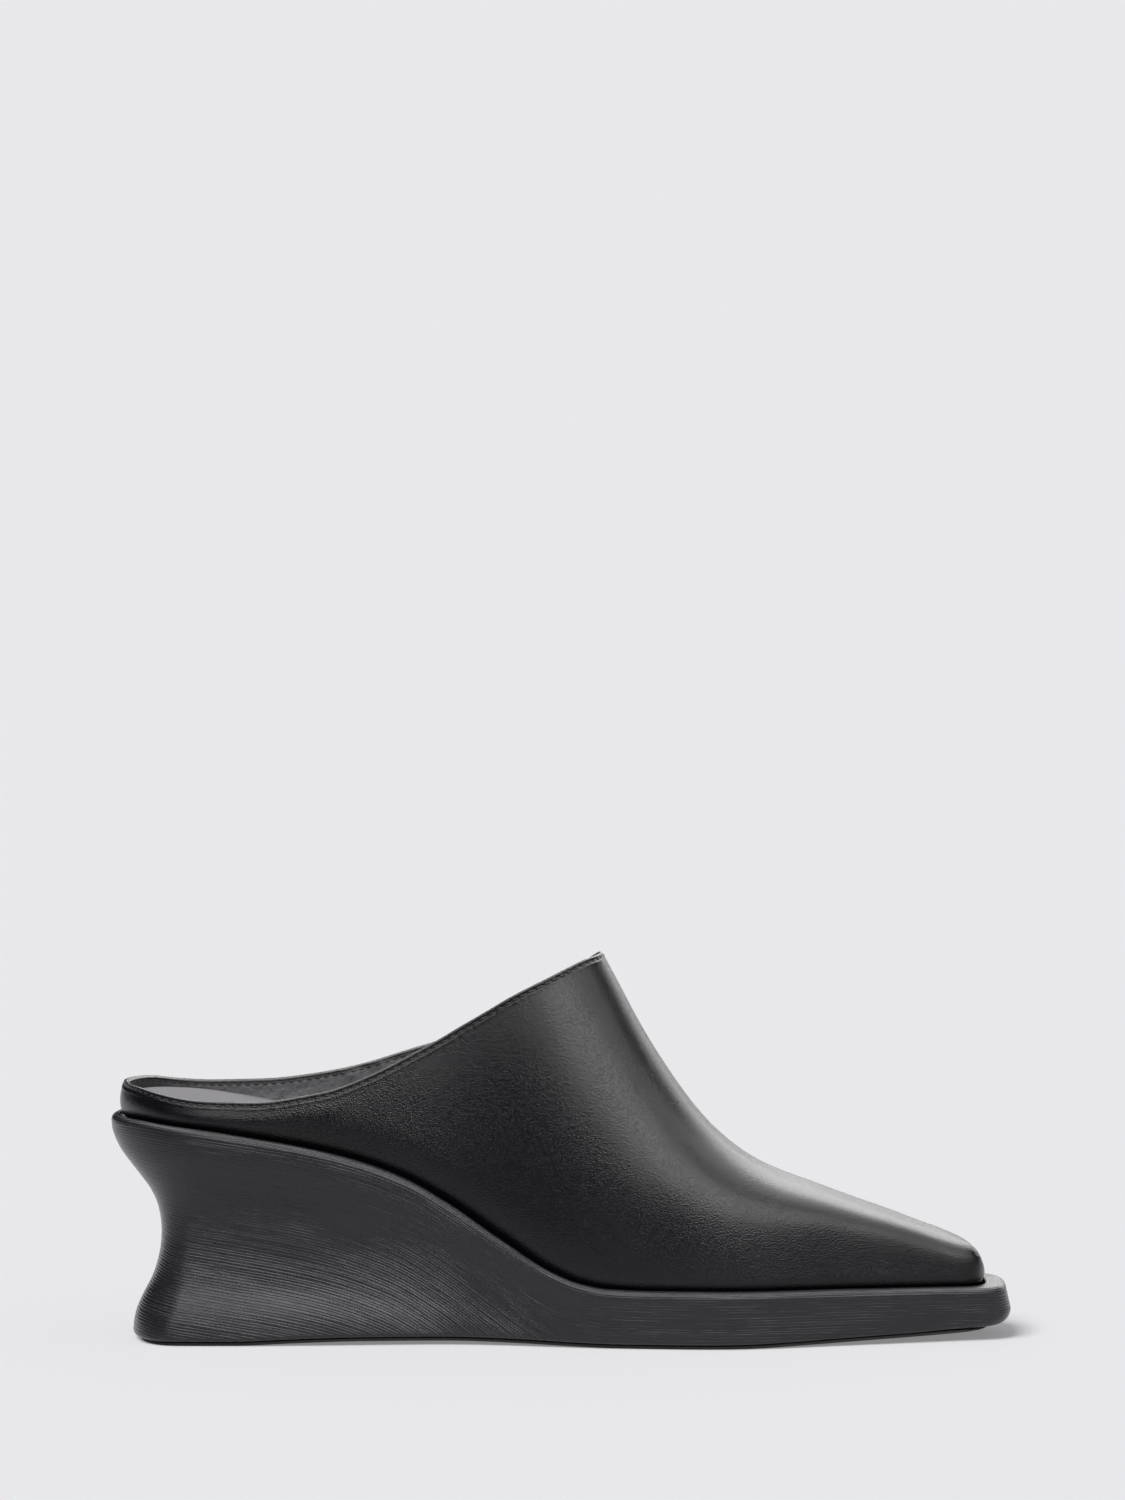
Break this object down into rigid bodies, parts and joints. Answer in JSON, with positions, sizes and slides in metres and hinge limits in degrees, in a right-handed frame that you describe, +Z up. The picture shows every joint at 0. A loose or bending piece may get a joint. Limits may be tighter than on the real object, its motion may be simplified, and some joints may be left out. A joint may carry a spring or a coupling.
{
  "type": "wedge mule shoe",
  "caption": "Left leather mule with an open collar, a chiselled square toe, a padded insole and a moulded wedge sole that stands out as a lip round the upper.",
  "frame": {"origin": "on the floor, under the middle of the shoe's length and width", "axes": "+X from the heel to the toe, +Y to the wearer's left (this shoe's outer side), +Z up"},
  "size_m": [0.264, 0.0794, 0.1122],
  "materials": {
    "wedge_rubber": "satin charcoal rubber with fine drawn lines",
    "outsole_rubber": "matt black rubber",
    "upper_leather": "smooth black calf with a soft sheen",
    "insole_leather": "smooth light grey sock leather over padding"
  },
  "bodies": {
    "root": {"wedge": "wedge_rubber", "outsole": "outsole_rubber", "upper": "upper_leather", "insole": "insole_leather"}
  },
  "joints": []
}
